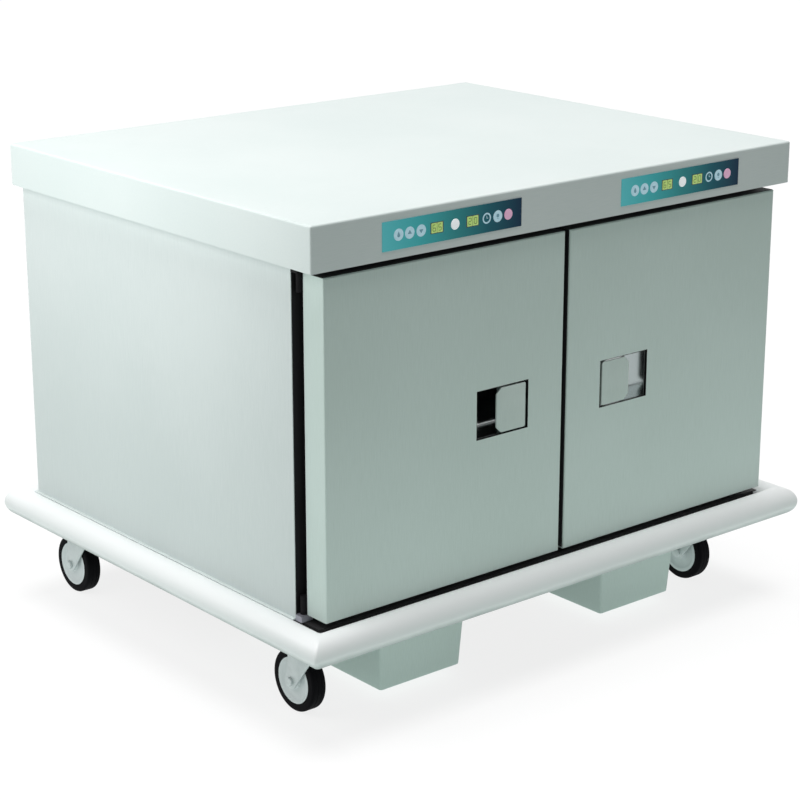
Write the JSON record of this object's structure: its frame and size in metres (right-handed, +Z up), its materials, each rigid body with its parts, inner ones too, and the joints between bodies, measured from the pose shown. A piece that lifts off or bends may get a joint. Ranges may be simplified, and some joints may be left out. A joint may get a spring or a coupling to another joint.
{
  "type": "heated holding cabinet",
  "caption": "Mobile insulated holding cabinet with hinged doors, flush paddle handles, a thick worktop with keypads, a round bumper and swivel castors.",
  "frame": {"origin": "on the floor, below the middle of the bumper ring", "axes": "+X to the right seen from the front, +Y from the doors to the back, +Z up"},
  "size_m": [1.306, 1.09, 0.98],
  "materials": {
    "worktop": "satin",
    "steel": "satin",
    "chamber_steel": "satin",
    "chassis_paint": "matte",
    "bumper": "satin",
    "black_frame": "matte",
    "gasket": "matte",
    "wool": "matte",
    "keypad": "satin",
    "display": "gloss",
    "board": "matte",
    "main_button": "satin",
    "power_button": "satin",
    "black_plastic": "matte",
    "motor": "satin",
    "hinge_steel": "satin",
    "handle_steel": "satin",
    "zinc": "satin",
    "hub": "satin",
    "tyre": "matte"
  },
  "bodies": {
    "cabinet": {"worktop": "worktop", "left_side_panel": "steel", "right_side_panel": "steel", "rear_panel": "steel", "worktop_underside": "steel", "heater_boxes": "steel", "left_chamber_liner": "chamber_steel", "right_chamber_liner": "chamber_steel", "tray_runners": "chamber_steel", "fan_guards": "chamber_steel", "temperature_probes": "chamber_steel", "heating_elements": "chamber_steel", "chassis_frame": "chassis_paint", "base_pan": "chassis_paint", "bumper_brackets": "chassis_paint", "bumper_ring": "bumper", "front_frame": "black_frame", "body_insulation": "wool", "keypad_films": "keypad", "display_modules": "display", "control_boards": "board", "mains_inlet": "black_plastic", "fan_motors": "motor", "hinge_brackets": "hinge_steel", "castor_plates": "zinc", "fasteners": "zinc"},
    "left_door": {"left_door_skin": "steel", "left_door_liner": "steel", "left_door_core": "wool", "left_door_gasket": "gasket", "left_hinge_knuckles": "hinge_steel", "left_handle_cup": "handle_steel"},
    "left_paddle": {"left_handle_paddle": "handle_steel"},
    "left_bar": {"left_push_bar": "handle_steel"},
    "left_fan": {"left_fan_impeller": "motor"},
    "left_main_key": {"left_main_button": "main_button"},
    "left_power_key": {"left_power_button": "power_button"},
    "right_door": {"right_door_skin": "steel", "right_door_liner": "steel", "right_door_core": "wool", "right_door_gasket": "gasket", "right_hinge_knuckles": "hinge_steel", "right_handle_cup": "handle_steel"},
    "right_paddle": {"right_handle_paddle": "handle_steel"},
    "right_bar": {"right_push_bar": "handle_steel"},
    "right_fan": {"right_fan_impeller": "motor"},
    "right_main_key": {"right_main_button": "main_button"},
    "right_power_key": {"right_power_button": "power_button"},
    "front_left_fork": {"front_left_castor_fork": "zinc"},
    "front_left_wheel": {"front_left_wheel_hub": "hub", "front_left_tyre": "tyre"},
    "front_right_fork": {"front_right_castor_fork": "zinc"},
    "front_right_wheel": {"front_right_wheel_hub": "hub", "front_right_tyre": "tyre"},
    "rear_left_fork": {"rear_left_castor_fork": "zinc"},
    "rear_left_wheel": {"rear_left_wheel_hub": "hub", "rear_left_tyre": "tyre"},
    "rear_right_fork": {"rear_right_castor_fork": "zinc"},
    "rear_right_wheel": {"rear_right_wheel_hub": "hub", "rear_right_tyre": "tyre"}
  },
  "joints": [
    {"name": "left_door_hinge", "type": "hinge", "parent": "cabinet", "child": "left_door", "pos_m": [-0.585, -0.424, 0.56], "axis": [0, 0, -1], "range_deg": [0, 120]},
    {"name": "left_paddle_pivot", "type": "hinge", "parent": "left_door", "child": "left_paddle", "pos_m": [-0.1105, -0.48, 0.56], "axis": [0, 0, 1], "range_deg": [0, 30], "stiffness_Nm_per_rad": 0.6},
    {"name": "left_bar_slide", "type": "slide", "parent": "left_door", "child": "left_bar", "axis": [0, 1, 0], "range_m": [0, 0.0065]},
    {"name": "left_fan_spin", "type": "hinge", "parent": "cabinet", "child": "left_fan", "pos_m": [-0.2955, -0.198, 0.287], "axis": [0, 0, 1], "continuous": true},
    {"name": "left_main_press", "type": "slide", "parent": "cabinet", "child": "left_main_key", "axis": [0, 1, 0], "range_m": [0, 0.0015], "stiffness_N_per_m": 500},
    {"name": "left_power_press", "type": "slide", "parent": "cabinet", "child": "left_power_key", "axis": [0, 1, 0], "range_m": [0, 0.0015], "stiffness_N_per_m": 500},
    {"name": "right_door_hinge", "type": "hinge", "parent": "cabinet", "child": "right_door", "pos_m": [0.585, -0.424, 0.56], "axis": [0, 0, 1], "range_deg": [0, 120]},
    {"name": "right_paddle_pivot", "type": "hinge", "parent": "right_door", "child": "right_paddle", "pos_m": [0.1105, -0.48, 0.56], "axis": [0, 0, -1], "range_deg": [0, 30], "stiffness_Nm_per_rad": 0.6},
    {"name": "right_bar_slide", "type": "slide", "parent": "right_door", "child": "right_bar", "axis": [0, 1, 0], "range_m": [0, 0.0065]},
    {"name": "right_fan_spin", "type": "hinge", "parent": "cabinet", "child": "right_fan", "pos_m": [0.2955, -0.198, 0.287], "axis": [0, 0, 1], "continuous": true},
    {"name": "right_main_press", "type": "slide", "parent": "cabinet", "child": "right_main_key", "axis": [0, 1, 0], "range_m": [0, 0.0015], "stiffness_N_per_m": 500},
    {"name": "right_power_press", "type": "slide", "parent": "cabinet", "child": "right_power_key", "axis": [0, 1, 0], "range_m": [0, 0.0015], "stiffness_N_per_m": 500},
    {"name": "front_left_swivel", "type": "hinge", "parent": "cabinet", "child": "front_left_fork", "pos_m": [-0.53, -0.375, 0.14], "axis": [0, 0, 1], "continuous": true},
    {"name": "front_left_roll", "type": "hinge", "parent": "front_left_fork", "child": "front_left_wheel", "pos_m": [-0.53, -0.335, 0.0625], "axis": [1, 0, 0], "continuous": true},
    {"name": "front_right_swivel", "type": "hinge", "parent": "cabinet", "child": "front_right_fork", "pos_m": [0.53, -0.375, 0.14], "axis": [0, 0, 1], "continuous": true},
    {"name": "front_right_roll", "type": "hinge", "parent": "front_right_fork", "child": "front_right_wheel", "pos_m": [0.53, -0.335, 0.0625], "axis": [1, 0, 0], "continuous": true},
    {"name": "rear_left_swivel", "type": "hinge", "parent": "cabinet", "child": "rear_left_fork", "pos_m": [-0.53, 0.41, 0.14], "axis": [0, 0, 1], "continuous": true},
    {"name": "rear_left_roll", "type": "hinge", "parent": "rear_left_fork", "child": "rear_left_wheel", "pos_m": [-0.53, 0.45, 0.0625], "axis": [1, 0, 0], "continuous": true},
    {"name": "rear_right_swivel", "type": "hinge", "parent": "cabinet", "child": "rear_right_fork", "pos_m": [0.53, 0.41, 0.14], "axis": [0, 0, 1], "continuous": true},
    {"name": "rear_right_roll", "type": "hinge", "parent": "rear_right_fork", "child": "rear_right_wheel", "pos_m": [0.53, 0.45, 0.0625], "axis": [1, 0, 0], "continuous": true}
  ],
  "couplings": [
    {"joint": "left_bar_slide", "follows": "left_paddle_pivot", "m_per_rad": 0.012},
    {"joint": "right_bar_slide", "follows": "right_paddle_pivot", "m_per_rad": 0.012}
  ]
}
